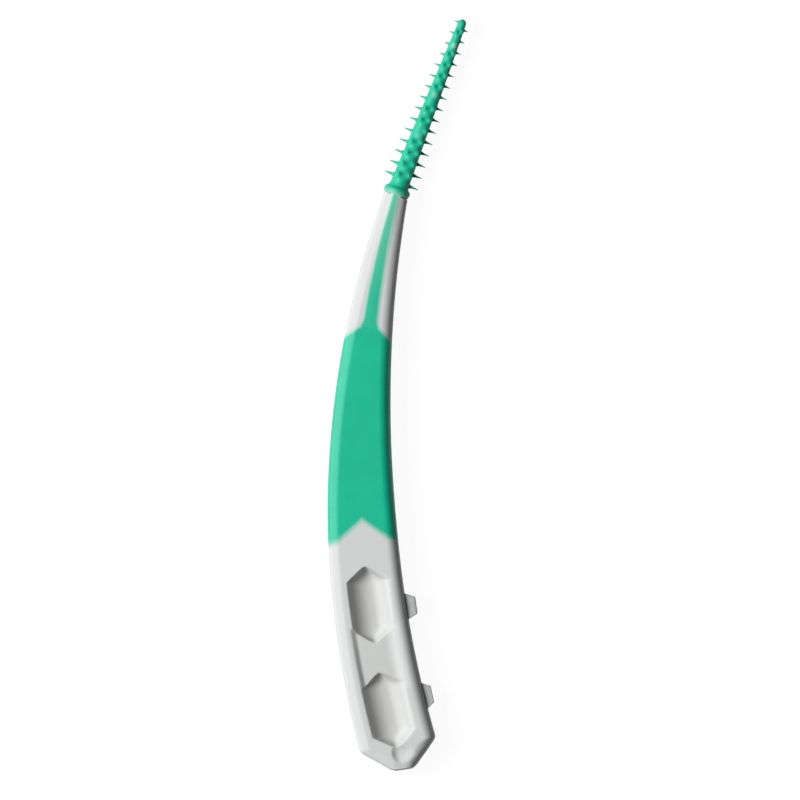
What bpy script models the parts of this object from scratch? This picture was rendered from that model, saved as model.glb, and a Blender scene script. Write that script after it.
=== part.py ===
"""A rubber interdental pick: a rigid white core and the green rubber that is moulded over it.

Metres, +Z up. The pick lies on its back face at z = 0 with its front face up. The handle's
centreline is one arc that starts at the world origin, where it heads along +X. "Along" is the
distance on that arc, plus towards the tip. "Across" is square to it in the plan, plus to the
right, which is -Y. "Up" is measured from the middle plane, where the mould parts.
"""

import math

import bmesh
import bpy
from mathutils import Matrix, Vector

# Handle: lengths lie along the centreline, from the origin
BEND_RADIUS = 0.105
HANDLE_REACH = 0.02816
BUTT_LENGTH = 0.00252
NECK_REACH = 0.02818
HANDLE_WIDTH = 0.00772
NECK_WIDTH = 0.00242
BUTT_END_WIDTH = 0.00206
BUTT_END_SHIFT = -0.00014
HANDLE_DEPTH = 0.0034
NECK_DEPTH = 0.00244
DEPTH_TAPER_START = 0.006
FLANK_WIDTH = 0.00105
BUTT_SLANT_SHARE = -0.066
BUTT_END_SLANT_SHARE = -0.146
FLANK_MOST_SHARE = 0.8
HANDLE_STEP = 0.0023

# Shares of the way from the butt's corners to the neck's end, and from the wide to the narrow end
TAPER_SHARES = (
    (0.0, 0.0),
    (0.14, 0.04),
    (0.32, 0.11),
    (0.41, 0.162),
    (0.5, 0.247),
    (0.68, 0.47),
    (0.86, 0.75),
    (1.0, 1.0),
)
# Control points of a flank's curve: height share at the side, then width and drop shares at the crease
FLANK_SIDE_SHARE = 0.6
FLANK_CREASE_SHARE = 0.45
FLANK_DROP_SHARE = 0.16
FLANK_STEPS = 5

# Finger pockets, on the front and on the back, set out from the butt's corners
POCKET_SET_IN = 0.00374
POCKET_PITCH = 0.01056
POCKET_WIDTH = 0.0042
POCKET_LENGTH = 0.0078
POCKET_SIDE_LENGTH = 0.0045
POCKET_DEPTH = 0.00105
POCKET_END_SLOPE = 0.0014
POCKET_RINGS = 8
POCKET_FLOOR_SHARE = 0.1
TROUGH_WIDTH = 0.0043
TROUGH_FLOOR_WIDTH = 0.0035
TROUGH_DEPTH = 0.00034
TROUGH_STEPS = 4

# Gate dimple in the front, below the butt's corners
DIMPLE_DROP = 0.00114
DIMPLE_WIDTH = 0.00176
DIMPLE_DEPTH = 0.00018
DIMPLE_STEPS = 4

# Stubs of the sprue on the right side, at the parting line, set out from the butt's corners
TAB_SET_INS = (0.01366, 0.00421)
TAB_LENGTH = 0.0027
TAB_END_LENGTH = 0.00195
TAB_REACHES = (0.00098, 0.00078)
TAB_DEPTH = 0.0007
TAB_CORNER = 0.00016

# Rubber grip
GRIP_APEX = -0.00536
GRIP_TOP = 0.0141
CHEVRON_KNEE_ACROSS = 0.0026
CHEVRON_KNEE_DROP = 0.0021
CHEVRON_SIDE_DROP = 0.00245
SHOULDER_DROP = 0.0013
GRIP_SIDE_WALL = 0.00075
GRIP_FACE_WALL = 0.0006
GRIP_STEP = 0.0015

# Rubber strip up the front of the neck
STRIP_ROOT_WIDTH = 0.0015
STRIP_END_WIDTH = 0.00072
STRIP_DEPTH = 0.0004
STRIP_PROUD = 0.00004
STRIP_ROUND = 0.00005
STRIP_FLARE = 0.0005
STRIP_FLARE_LENGTH = 0.0011
STRIP_START = 0.0004
STRIP_STEPS = 12

# Rubber tip: a collar and a tapered sleeve, on a straight axis from the top of the collar
TIP_ANGLE = math.radians(21.2)
SLEEVE_LENGTH = 0.01812
SLEEVE_ROOT_RADIUS = 0.00098
SLEEVE_TIP_RADIUS = 0.00042
SLEEVE_DOME = 0.00050
SLEEVE_ROOT_WALL = 0.00035
SLEEVE_TIP_WALL = 0.00018
SLEEVE_END_WALL = 0.00092
COLLAR_RADIUS = 0.00134
COLLAR_HEIGHT = 0.00075
TIP_SIDES = 24
ROUND_STEPS = 4
# Outline of the collar: shares of the way out from the sleeve, and of its height up from its widest face
COLLAR_SHARES = (
    (0.0, 0.6),
    (0.04, 0.42),
    (0.16, 0.25),
    (0.42, 0.08),
    (0.74, -0.04),
    (0.94, -0.16),
    (1.0, -0.32),
    (0.94, -0.54),
    (0.83, -0.8),
    (0.7, -0.95),
    (0.45, -1.0),
)

# Spikes: the side rows lie in the parting plane, the short rows stand square to it on both faces
SPIKE_PITCH = 0.00118
SPIKE_FIRST_RIGHT = 0.00058
SPIKE_ROOT_REACH = 0.00197
SPIKE_TIP_REACH = 0.0008
SPIKE_ROOT_RADIUS = 0.0002
SPIKE_TOP_ROOT_RADIUS = 0.00013
SPIKE_END_RADIUS = 0.00005
SPIKE_SINK = 0.0001
SHORT_ROW_RIGHT_SET_BACK = 0.00026
SHORT_ROW_LEFT_SET_BACK = 0.00046
SHORT_SPIKE_HEIGHT = 0.0006
SHORT_SPIKE_TOP_HEIGHT = 0.0004
SHORT_SPIKE_ROOT_RADIUS = 0.00019
SHORT_SPIKE_TOP_ROOT_RADIUS = 0.0001
SHORT_SPIKE_SINK = 0.00002
SHORT_SPIKE_ANGLE = math.radians(34)
SPIKE_SIDES = 6
# Height and width shares of a spike's outline above its root
SPIKE_OUTLINE_SHARES = ((0.06, 0.84), (0.38, 0.5))

# Core pads that show through the sleeve's front, as shares of its length
PAD_PLACE_SHARES = (0.309, 0.552, 0.844)
PAD_WIDTH = 0.00056
PAD_DROP = 0.00004
PAD_SIDES = 16

# Fits
BOND_GAP = 0.00003
OVERRUN = 0.0005
MERGE = 0.0000001
SMOOTH_ANGLE = math.radians(24)

MIDDLE = HANDLE_DEPTH / 2
POCKET_PLACES = (POCKET_SET_IN + POCKET_PITCH - HANDLE_REACH, POCKET_SET_IN - HANDLE_REACH)
TAB_PLACES = [set_in - HANDLE_REACH for set_in in TAB_SET_INS]
NEEDLE_LENGTH = SLEEVE_LENGTH - SLEEVE_END_WALL
PAD_PLACES = [SLEEVE_LENGTH * share for share in PAD_PLACE_SHARES]
NECK_END = NECK_REACH - COLLAR_HEIGHT - BOND_GAP
KINK_ANGLE = TIP_ANGLE - NECK_REACH / BEND_RADIUS

WHITE = (0.80, 0.81, 0.80, 1.0)
GREEN = (0.02, 0.47, 0.30, 1.0)


def spot(along, across, up):
    """A point of the handle, from its place on the bent centreline."""
    turn = along / BEND_RADIUS
    radius = BEND_RADIUS - across
    return Vector((radius * math.sin(turn), radius * math.cos(turn) - BEND_RADIUS, up))


def slope_at(table, index):
    before = table[max(index - 1, 0)]
    after = table[min(index + 1, len(table) - 1)]
    return (after[1] - before[1]) / (after[0] - before[0])


def through(table, place):
    """A smooth curve through a table's points, read at one place."""
    index = max(i for i in range(len(table) - 1) if i == 0 or table[i][0] <= place)
    (start, low), (end, high) = table[index], table[index + 1]
    span, rise = end - start, high - low
    leave = slope_at(table, index) * span
    arrive = slope_at(table, index + 1) * span
    t = (place - start) / span
    return low + leave * t + (3 * rise - 2 * leave - arrive) * t**2 + (leave + arrive - 2 * rise) * t**3


def mix(first, second, share):
    return first + (second - first) * share


def eased(share):
    share = min(max(share, 0.0), 1.0)
    return share * share * (3 - 2 * share)


def steps_between(start, end, step):
    """Evenly spaced places from start to end, about one step apart."""
    count = max(round((end - start) / step), 1)
    return [mix(start, end, i / count) for i in range(count + 1)]


def half_width(along):
    if along < -HANDLE_REACH:
        return mix(HANDLE_WIDTH, BUTT_END_WIDTH, (-HANDLE_REACH - along) / BUTT_LENGTH) / 2
    place = (along + HANDLE_REACH) / (NECK_END + HANDLE_REACH)
    return mix(HANDLE_WIDTH, NECK_WIDTH, through(TAPER_SHARES, min(place, 1.0))) / 2


def half_depth(along):
    share = eased((along - DEPTH_TAPER_START) / (NECK_END - DEPTH_TAPER_START))
    return mix(HANDLE_DEPTH, NECK_DEPTH, share) / 2


def bezier(points, t):
    """A point of the cubic curve with these four control points."""
    a, b, c, d = (Vector(point) for point in points)
    s = 1 - t
    return a * s**3 + b * (3 * s * s * t) + c * (3 * s * t * t) + d * t**3


def flank(wide, deep, flank_width):
    """A quarter of the handle's section, from its side to the crease at its flat face."""
    controls = (
        (wide, 0),
        (wide, deep * FLANK_SIDE_SHARE),
        (wide - flank_width * (1 - FLANK_CREASE_SHARE), deep - flank_width * FLANK_DROP_SHARE),
        (wide - flank_width, deep),
    )
    return [bezier(controls, i / FLANK_STEPS) for i in range(FLANK_STEPS + 1)]


def body_ring(along, slant=0.0, side_inset=0.0, face_inset=0.0, shift=0.0):
    """The handle's section at one place: two flat faces between rounded flanks."""
    wide = half_width(along) - side_inset
    deep = half_depth(along) - face_inset
    quarter = flank(wide, deep, min(FLANK_WIDTH, wide * FLANK_MOST_SHARE))
    front = [(x, z) for x, z in quarter] + [(-x, z) for x, z in reversed(quarter)]
    back = [(-x, -z) for x, z in quarter[1:]] + [(x, -z) for x, z in reversed(quarter[1:])]
    return [spot(along + slant * across, across + shift, up) for across, up in front + back]


def add_loft(mesh, rings):
    """Joins like rings of points by faces, and closes both ends."""
    loops = [[mesh.verts.new(point) for point in ring] for ring in rings]
    for low, high in zip(loops, loops[1:]):
        for i in range(len(low)):
            j = (i + 1) % len(low)
            mesh.faces.new((low[i], low[j], high[j], high[i]))
    mesh.faces.new(list(reversed(loops[0])))
    mesh.faces.new(loops[-1])


def new_object(name, mesh, collection):
    """An object of this bmesh, smooth but for its creases."""
    bmesh.ops.recalc_face_normals(mesh, faces=mesh.faces)
    data = bpy.data.meshes.new(name)
    mesh.to_mesh(data)
    mesh.free()
    data.shade_smooth()
    data.set_sharp_from_angle(angle=SMOOTH_ANGLE)
    made = bpy.data.objects.new(name, data)
    collection.objects.link(made)
    return made


def helper(made):
    made.hide_render = True
    made.display_type = "WIRE"
    return made


def on_handle(made):
    made.location = (0, 0, MIDDLE)
    return made


def on_tip(made):
    """Sets local Z on the tip's axis, from the top of the collar. The front is then local -X, the right -Y."""
    made.location = spot(NECK_REACH, 0, MIDDLE)
    made.rotation_euler = (0, math.pi / 2, -TIP_ANGLE)
    return made


def lofts(name, all_rings, collection):
    mesh = bmesh.new()
    for rings in all_rings:
        add_loft(mesh, rings)
    return on_handle(new_object(name, mesh, collection))


def prism(outline, low, high):
    """The two rings of an upright block over a plan outline of (along, across) points."""
    return [[spot(along, across, up) for along, across in outline] for up in (low, high)]


def turned(name, profile, sides, collection):
    """A closed shape turned about local Z from (radius, height) points, top to bottom on its outer side."""
    data = bpy.data.meshes.new(name)
    points = [(radius, 0, height) for radius, height in profile]
    data.from_pydata(points, [(i, i + 1) for i in range(len(points) - 1)], [])
    made = bpy.data.objects.new(name, data)
    collection.objects.link(made)
    screw = made.modifiers.new("turn", "SCREW")
    screw.steps = screw.render_steps = sides
    screw.use_merge_vertices = True
    screw.merge_threshold = MERGE
    screw.use_smooth_shade = True
    return helper(made)


def boolean(target, operation, other):
    modifier = target.modifiers.new(other.name, "BOOLEAN")
    modifier.operation = operation
    modifier.object = other


def arc(centre, radius, start, end, steps):
    """Points on an arc of (radius, height) pairs; angles in degrees from the outward direction."""
    angles = [math.radians(mix(start, end, i / steps)) for i in range(steps + 1)]
    return [(centre[0] + radius[0] * math.cos(a), centre[1] + radius[1] * math.sin(a)) for a in angles]


def sleeve_radius(place):
    top = SLEEVE_LENGTH - SLEEVE_DOME
    return mix(SLEEVE_ROOT_RADIUS, SLEEVE_TIP_RADIUS, min(place / top, 1.0))


def bore_radius(place):
    wall = mix(SLEEVE_ROOT_WALL, SLEEVE_TIP_WALL, place / NEEDLE_LENGTH)
    return sleeve_radius(place) - wall


def body_rings():
    """The whole handle and neck, from the butt's flat end to the square end under the collar."""
    middle = steps_between(-HANDLE_REACH, NECK_END, HANDLE_STEP)
    end = -HANDLE_REACH - BUTT_LENGTH
    rings = [body_ring(end, BUTT_END_SLANT_SHARE, shift=BUTT_END_SHIFT)]
    rings.append(body_ring(middle[0], BUTT_SLANT_SHARE))
    rings += [body_ring(along) for along in middle[1:-1]]
    rings.append(body_ring(middle[-1], -math.tan(KINK_ANGLE)))
    return rings


def inner_rings(gap):
    """The core's waist inside the grip, longer than the grip at both ends."""
    start = GRIP_APEX - CHEVRON_SIDE_DROP - OVERRUN
    places = steps_between(start, GRIP_TOP + OVERRUN, GRIP_STEP)
    return [body_ring(along, 0.0, GRIP_SIDE_WALL + gap, GRIP_FACE_WALL + gap) for along in places]


def grip_outline(gap):
    """The grip's plan: a chevron below, and shoulders that rise to the strip above."""
    side = HANDLE_WIDTH / 2
    top = half_width(GRIP_TOP)
    root = STRIP_ROOT_WIDTH / 2
    slope = SHOULDER_DROP / (top - root)
    knee = CHEVRON_KNEE_ACROSS
    right = [
        (GRIP_APEX - CHEVRON_KNEE_DROP - gap, knee),
        (GRIP_APEX - CHEVRON_SIDE_DROP - gap, side),
        (GRIP_TOP - slope * (side - root) + gap, side),
        (GRIP_TOP + gap, root),
    ]
    left = [(along, -across) for along, across in reversed(right)]
    return [(GRIP_APEX - gap, 0)] + right + left


def grip_block(gap):
    return prism(grip_outline(gap), -MIDDLE - OVERRUN, MIDDLE + OVERRUN)


def strip_half_width(along):
    share = (along - GRIP_TOP) / (NECK_END - GRIP_TOP)
    flare = 1 - (along - GRIP_TOP + STRIP_START) / STRIP_FLARE_LENGTH
    return mix(STRIP_ROOT_WIDTH, STRIP_END_WIDTH, share) / 2 + STRIP_FLARE * max(flare, 0.0) ** 2


def strip_ring(along, gap, rise):
    """The strip's section: a flat floor in the neck, and rounded top edges above it."""
    half = strip_half_width(along) + gap
    top = half_depth(along) + rise
    floor = half_depth(along) - STRIP_DEPTH - gap
    shape = (
        (half, floor),
        (half, top - STRIP_ROUND),
        (half - STRIP_ROUND, top),
        (STRIP_ROUND - half, top),
        (-half, top - STRIP_ROUND),
        (-half, floor),
    )
    return [spot(along, across, up) for across, up in shape]


def strip_rings(gap, rise, end):
    start = GRIP_TOP - STRIP_START
    flare_end = start + STRIP_FLARE_LENGTH
    flared = [mix(start, flare_end, i / ROUND_STEPS) for i in range(ROUND_STEPS)]
    straight = [mix(flare_end, end, i / STRIP_STEPS) for i in range(STRIP_STEPS + 1)]
    return [strip_ring(along, gap, rise) for along in flared + straight]


def pocket_rings(centre, side):
    """A hexagonal scoop with a round floor. Side is 1 on the front face and -1 on the back."""
    half = POCKET_WIDTH / 2
    radius = (half**2 + POCKET_DEPTH**2) / (2 * POCKET_DEPTH)
    edge = math.asin(half / radius)
    point = (POCKET_LENGTH - POCKET_SIDE_LENGTH) / 2
    face = half_depth(centre)

    def hexagon(share, up):
        tip = POCKET_LENGTH / 2 - POCKET_END_SLOPE * (1 - share)
        side_end = tip - point * share
        corners = [(tip, 0), (side_end, half * share), (-side_end, half * share)]
        corners += [(-tip, 0), (-side_end, -half * share), (side_end, -half * share)]
        return [spot(centre + along, across, up * side) for along, across in corners]

    rings = [hexagon(1.0, face + OVERRUN)]
    for i in range(POCKET_RINGS + 1):
        angle = edge * mix(1.0, POCKET_FLOOR_SHARE, i / POCKET_RINGS)
        sink = radius * (math.cos(angle) - math.cos(edge))
        rings.append(hexagon(math.sin(angle) / math.sin(edge), face - sink))
    return rings


def trough_rings(side):
    """The shallow channel that joins the two pockets of a face."""
    face = half_depth(POCKET_PLACES[0])
    top, floor = TROUGH_WIDTH / 2, TROUGH_FLOOR_WIDTH / 2
    shape = (
        (floor, face - TROUGH_DEPTH),
        (top, face),
        (top, face + OVERRUN),
        (-top, face + OVERRUN),
        (-top, face),
        (-floor, face - TROUGH_DEPTH),
    )
    places = [mix(*POCKET_PLACES, i / TROUGH_STEPS) for i in range(TROUGH_STEPS + 1)]
    return [[spot(along, across, up * side) for across, up in shape] for along in places]


def dimple(cutters):
    """A shallow round hollow in the front face, where the core was filled."""
    half = DIMPLE_WIDTH / 2
    radius = (half**2 + DIMPLE_DEPTH**2) / (2 * DIMPLE_DEPTH)
    edge = math.asin(half / radius)
    angles = [edge * (1 - i / DIMPLE_STEPS) for i in range(DIMPLE_STEPS + 1)]
    bowl = [(radius * math.sin(a), radius * (math.cos(edge) - math.cos(a))) for a in angles]
    bowl[-1] = (0, bowl[-1][1])
    made = turned("dimple", [(0, OVERRUN), (half, OVERRUN)] + bowl, TIP_SIDES, cutters)
    made.location = spot(-HANDLE_REACH - DIMPLE_DROP, 0, HANDLE_DEPTH)
    return made


def tab_rings(place, reach):
    """A stub that stands out of the right side, in the parting plane."""
    root = half_width(place)
    end = root + reach
    side, tip = TAB_LENGTH / 2, TAB_END_LENGTH / 2
    outline = (
        (place + side, root - OVERRUN),
        (place + side, root),
        (place + tip, end - TAB_CORNER),
        (place + tip - TAB_CORNER, end),
        (place - tip + TAB_CORNER, end),
        (place - tip, end - TAB_CORNER),
        (place - side, root),
        (place - side, root - OVERRUN),
    )
    return prism(outline, -TAB_DEPTH / 2, TAB_DEPTH / 2)


def needle(cutters):
    """The core's tapered pin, up inside the rubber sleeve."""
    top = bore_radius(NEEDLE_LENGTH) - BOND_GAP
    root = bore_radius(-COLLAR_HEIGHT) - BOND_GAP
    profile = arc((0, NEEDLE_LENGTH - top), (top, top), 90, 0, ROUND_STEPS)
    profile[0] = (0, NEEDLE_LENGTH)
    profile += [(root, -COLLAR_HEIGHT - OVERRUN), (0, -COLLAR_HEIGHT - OVERRUN)]
    return on_tip(turned("needle", profile, TIP_SIDES, cutters))


def pads(name, gap, rise, cutters):
    """Round posts from the tip's axis to the front of the sleeve, one at each pad."""
    mesh = bmesh.new()
    for place in PAD_PLACES:
        half = PAD_WIDTH / 2 + gap
        turns = [math.tau * i / PAD_SIDES for i in range(PAD_SIDES)]
        ends = (0, -sleeve_radius(place) - rise)
        add_loft(mesh, [[(x, half * math.sin(a), place + half * math.cos(a)) for a in turns] for x in ends])
    return helper(on_tip(new_object(name, mesh, cutters)))


def tip_body(cutters):
    """Collar and sleeve in one turned shape, open below where the needle enters."""
    top = SLEEVE_LENGTH - SLEEVE_DOME
    profile = arc((0, top), (SLEEVE_TIP_RADIUS, SLEEVE_DOME), 90, 0, ROUND_STEPS)
    profile[0] = (0, SLEEVE_LENGTH)
    for out, up in COLLAR_SHARES:
        height = COLLAR_HEIGHT * up
        profile.append((mix(sleeve_radius(height), COLLAR_RADIUS, out), height))
    profile.append((bore_radius(-COLLAR_HEIGHT), -COLLAR_HEIGHT))
    bore_top = bore_radius(NEEDLE_LENGTH)
    bore_end = arc((0, NEEDLE_LENGTH + BOND_GAP - bore_top), (bore_top, bore_top), 0, 90, ROUND_STEPS)
    bore_end[-1] = (0, NEEDLE_LENGTH + BOND_GAP)
    return on_tip(turned("tip_body", profile + bore_end, TIP_SIDES, cutters))


def add_spike(mesh, foot, turn, sink, height, root_radius):
    """One spike from a foot inside the sleeve. Turn is from the front to the right, about the axis."""
    outline = [(0.0, root_radius)]
    outline += [(sink + height * up, root_radius * wide) for up, wide in SPIKE_OUTLINE_SHARES]
    outline.append((sink + height, SPIKE_END_RADIUS))
    aim = Matrix.Rotation(turn, 4, "Z") @ Matrix.Rotation(-math.pi / 2, 4, "Y")
    stand = Matrix.Translation(foot) @ aim
    turns = [math.tau * i / SPIKE_SIDES for i in range(SPIKE_SIDES)]
    rings = [[stand @ Vector((r * math.cos(a), r * math.sin(a), z)) for a in turns] for z, r in outline]
    add_loft(mesh, rings)


def places_up(first, end):
    """Places a pitch apart on the sleeve, from the first one up to an end."""
    count = math.floor((end - first) / SPIKE_PITCH) + 1
    return [first + i * SPIKE_PITCH for i in range(count)]


def add_side_row(mesh, hand, first):
    """A long row in the parting plane. Hand is 1 on the right and -1 on the left."""
    for place in places_up(first, SLEEVE_LENGTH - SPIKE_TOP_ROOT_RADIUS):
        share = place / SLEEVE_LENGTH
        height = mix(SPIKE_ROOT_REACH, SPIKE_TIP_REACH, share) - sleeve_radius(place)
        foot = (0, hand * (SPIKE_SINK - sleeve_radius(place)), place)
        radius = mix(SPIKE_ROOT_RADIUS, SPIKE_TOP_ROOT_RADIUS, share)
        add_spike(mesh, foot, hand * math.pi / 2, SPIKE_SINK, height, radius)


def clear_of_pads(place):
    reach = PAD_WIDTH / 2 + BOND_GAP + SHORT_SPIKE_ROOT_RADIUS
    return all(abs(place - pad) > reach for pad in PAD_PLACES)


def add_short_row(mesh, hand, front, set_back):
    """A row of upright spikes on one face. Each is sunk until its root's outer edge is in the sleeve."""
    first = SPIKE_FIRST_RIGHT + SPIKE_PITCH - set_back
    for place in places_up(first, SLEEVE_LENGTH - SLEEVE_DOME):
        share = place / SLEEVE_LENGTH
        if front and not clear_of_pads(place):
            continue
        radius = mix(SHORT_SPIKE_ROOT_RADIUS, SHORT_SPIKE_TOP_ROOT_RADIUS, share)
        skin = sleeve_radius(place)
        across = skin * math.sin(SHORT_SPIKE_ANGLE)
        level = math.sqrt(skin**2 - (across + radius) ** 2) - SHORT_SPIKE_SINK
        sink = skin * math.cos(SHORT_SPIKE_ANGLE) - level
        foot = (-level if front else level, -hand * across, place)
        height = mix(SHORT_SPIKE_HEIGHT, SHORT_SPIKE_TOP_HEIGHT, share)
        add_spike(mesh, foot, 0.0 if front else math.pi, sink, height, radius)


def spikes(cutters):
    """Two long rows at the sides, half a pitch apart, and two short rows on each face."""
    mesh = bmesh.new()
    add_side_row(mesh, 1, SPIKE_FIRST_RIGHT)
    add_side_row(mesh, -1, SPIKE_FIRST_RIGHT + SPIKE_PITCH / 2)
    for front in (True, False):
        add_short_row(mesh, 1, front, SHORT_ROW_RIGHT_SET_BACK)
        add_short_row(mesh, -1, front, SHORT_ROW_LEFT_SET_BACK)
    return helper(on_tip(new_object("spikes", mesh, cutters)))


def material(name, colour, roughness):
    made = bpy.data.materials.new(name)
    made.use_nodes = True
    shader = made.node_tree.nodes["Principled BSDF"]
    shader.inputs["Base Color"].default_value = colour
    shader.inputs["Roughness"].default_value = roughness
    shader.inputs["Metallic"].default_value = 0.0
    return made


def make_core(parts, cutters):
    """The white core: handle, waist under the grip, grooved neck, needle and pads in one piece."""
    core = lofts("handle_core", [body_rings()], parts)
    grip_cut = helper(lofts("grip_cut", [grip_block(BOND_GAP)], cutters))
    waist = helper(lofts("waist", [inner_rings(BOND_GAP)], cutters))
    boolean(grip_cut, "DIFFERENCE", waist)
    groove_end = NECK_REACH + OVERRUN
    groove = helper(lofts("groove", [strip_rings(BOND_GAP, OVERRUN, groove_end)], cutters))
    faces = (1, -1)
    scoops = [pocket_rings(place, side) for place in POCKET_PLACES for side in faces]
    pockets = helper(lofts("pockets", scoops, cutters))
    troughs = helper(lofts("troughs", [trough_rings(side) for side in faces], cutters))
    tabs = helper(lofts("tabs", [tab_rings(*tab) for tab in zip(TAB_PLACES, TAB_REACHES)], cutters))
    for cut in (grip_cut, groove, pockets, troughs, dimple(cutters)):
        boolean(core, "DIFFERENCE", cut)
    for join in (tabs, needle(cutters), pads("pads", 0.0, -PAD_DROP, cutters)):
        boolean(core, "UNION", join)
    core.data.materials.append(material("white_plastic", WHITE, 0.38))
    return core


def make_rubber(parts, cutters):
    """The green rubber, one shot: grip, strip, collar, sleeve and spikes."""
    start = GRIP_APEX - CHEVRON_SIDE_DROP - OVERRUN
    skin = [body_ring(along) for along in steps_between(start, GRIP_TOP + OVERRUN, GRIP_STEP)]
    rubber = lofts("rubber_overmould", [skin], parts)
    boolean(rubber, "INTERSECT", helper(lofts("grip_block", [grip_block(0.0)], cutters)))
    boolean(rubber, "DIFFERENCE", helper(lofts("grip_bore", [inner_rings(0.0)], cutters)))
    strip_end = NECK_REACH - COLLAR_HEIGHT / 2
    strip = helper(lofts("strip", [strip_rings(0.0, STRIP_PROUD, strip_end)], cutters))
    for join in (strip, tip_body(cutters), spikes(cutters)):
        boolean(rubber, "UNION", join)
    boolean(rubber, "DIFFERENCE", pads("windows", BOND_GAP, OVERRUN, cutters))
    rubber.data.materials.append(material("green_rubber", GREEN, 0.5))
    return rubber


def new_collection(name):
    made = bpy.data.collections.new(name)
    bpy.context.scene.collection.children.link(made)
    return made


def main():
    for old in list(bpy.data.objects):
        bpy.data.objects.remove(old, do_unlink=True)
    parts = new_collection("interdental_pick")
    cutters = new_collection("cutters")
    base = bpy.data.objects.new("pick", None)
    parts.objects.link(base)
    for piece in (make_core(parts, cutters), make_rubber(parts, cutters)):
        piece.parent = base


main()
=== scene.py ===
"""Looks for the rubber interdental pick: the white core and the green rubber in full detail."""

import math

import bmesh
import bpy
import numpy as np
from mathutils import Matrix, Vector


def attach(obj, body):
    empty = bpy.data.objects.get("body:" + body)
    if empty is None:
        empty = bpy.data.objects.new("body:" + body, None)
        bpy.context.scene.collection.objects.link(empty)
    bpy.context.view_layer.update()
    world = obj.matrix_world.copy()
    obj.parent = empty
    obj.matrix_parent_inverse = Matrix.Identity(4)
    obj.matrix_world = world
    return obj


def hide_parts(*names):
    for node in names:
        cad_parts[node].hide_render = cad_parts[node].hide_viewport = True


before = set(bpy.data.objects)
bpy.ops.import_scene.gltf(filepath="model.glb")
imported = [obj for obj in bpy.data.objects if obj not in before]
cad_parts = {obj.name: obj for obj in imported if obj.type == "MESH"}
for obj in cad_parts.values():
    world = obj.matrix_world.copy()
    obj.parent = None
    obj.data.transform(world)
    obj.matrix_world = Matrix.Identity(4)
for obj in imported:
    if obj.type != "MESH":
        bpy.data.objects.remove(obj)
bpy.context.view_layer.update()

# Sizes are in metres, and those of the part's source but for a few. Along is the distance on the
# bent centreline, plus towards the tip; across is plus to the right (-Y); up is measured from the
# middle plane.
BEND_RADIUS = 0.105
HANDLE_REACH = 0.02816
NECK_REACH = 0.02818
HANDLE_WIDTH = 0.00772
NECK_WIDTH = 0.00242
HANDLE_DEPTH = 0.0034
NECK_DEPTH = 0.00244
DEPTH_TAPER_START = 0.006
MIDDLE = HANDLE_DEPTH / 2

# How the width falls from the handle's to the neck's: share of the way, and share of the fall
TAPER_SHARES = (
    (0.0, 0.0),
    (0.14, 0.04),
    (0.32, 0.11),
    (0.41, 0.162),
    (0.5, 0.247),
    (0.68, 0.47),
    (0.86, 0.75),
    (1.0, 1.0),
)

# Flanks between the side and the flat face. The left one is a chamfer, which falls by slope and
# bow and turns into the side over edge. The right one is a Bezier curve, with its first handle at
# side, its second at crease and drop. Softness rounds off the crease with the face.
FLANK_WIDTH = 0.00105
FLANK_MOST_SHARE = 0.8
LEFT_FLANK = {"scale": 0.93, "slope": 0.28, "bow": 0.03, "edge": 0.00018, "softness": 0.00016}
RIGHT_FLANK = {"scale": 0.855, "side": 0.85, "crease": 0.3, "drop": 0.16, "softness": 0.00029}
CREASE_ROOM = 0.4
CREASE_WEIGHTS = ((-1.0, 1), (-0.5, 2), (0.0, 2), (0.5, 2), (1.0, 1))
MIDDLE_SOFTNESS = 0.00002
FLANK_BLEND = 0.0004

# Butt: its outline runs from the corners to a slanted end
BUTT_CORNERS = -0.028155
BUTT_END = -0.0307
BUTT_END_RIGHT = 0.00089
BUTT_END_LEFT = 0.00117
BUTT_SLANT = -0.066
BUTT_END_SLANT = -0.1456
BUTT_SLANT_START = -0.026
BUTT_MITRE_START = -0.0275
BUTT_CORNER_ROUND = 0.00012
BUTT_END_ROUND = 0.0003
BUTT_END_REACH = FLANK_WIDTH * 1.6
BUTT_END_SOFTNESS = 0.00006
BUTT_CREASE = 0.45
BUTT_BLEND = 0.0014
BUTT_BLEND_LENGTH = 0.0025

# Finger pockets and what joins them
POCKET_PLACES = (-0.01386, -0.02442)
POCKET_SHIFTS = (0.0, -0.00016)
POCKET_HALF_WIDTHS = (0.00203, 0.00211)
POCKET_HALF_LENGTH = 0.0039
POCKET_POINT = 0.00165
POCKET_DEPTH = 0.00133
POCKET_BOTTOM = 0.00049
POCKET_FLOOR_RADIUS = 0.00228
POCKET_WALL_SLOPES = (1.75, 1.1)
POCKET_END_SLOPE = 0.0012
POCKET_KEEL = 0.00025
POCKET_BLEND = 0.0016
POCKET_SOFTNESSES = (0.14, 0.02)
POCKET_RIM_RISE = 1.6
POCKET_RIM_START = 0.6
EDGE_SOFTNESS = 0.00003
RIGHT_EDGE_SOFTNESS = 0.00016
EDGE_BLEND = 0.0014
TROUGH_ENDS = (-0.0159, -0.0226)
TROUGH_END_LENGTH = 0.0003
TROUGH_SHIFT = -0.00005
TROUGH_HALF_WIDTH = 0.0022
TROUGH_WALL = 0.00048
TROUGH_DEPTHS = (0.00028, 0.0004)
DIMPLE_PLACE = (-0.02905, -0.00018)
DIMPLE_RADIUS = 0.00092
DIMPLE_SIDES = (0.00064, 0.0016)
DIMPLE_DEPTH = 0.00026

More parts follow.
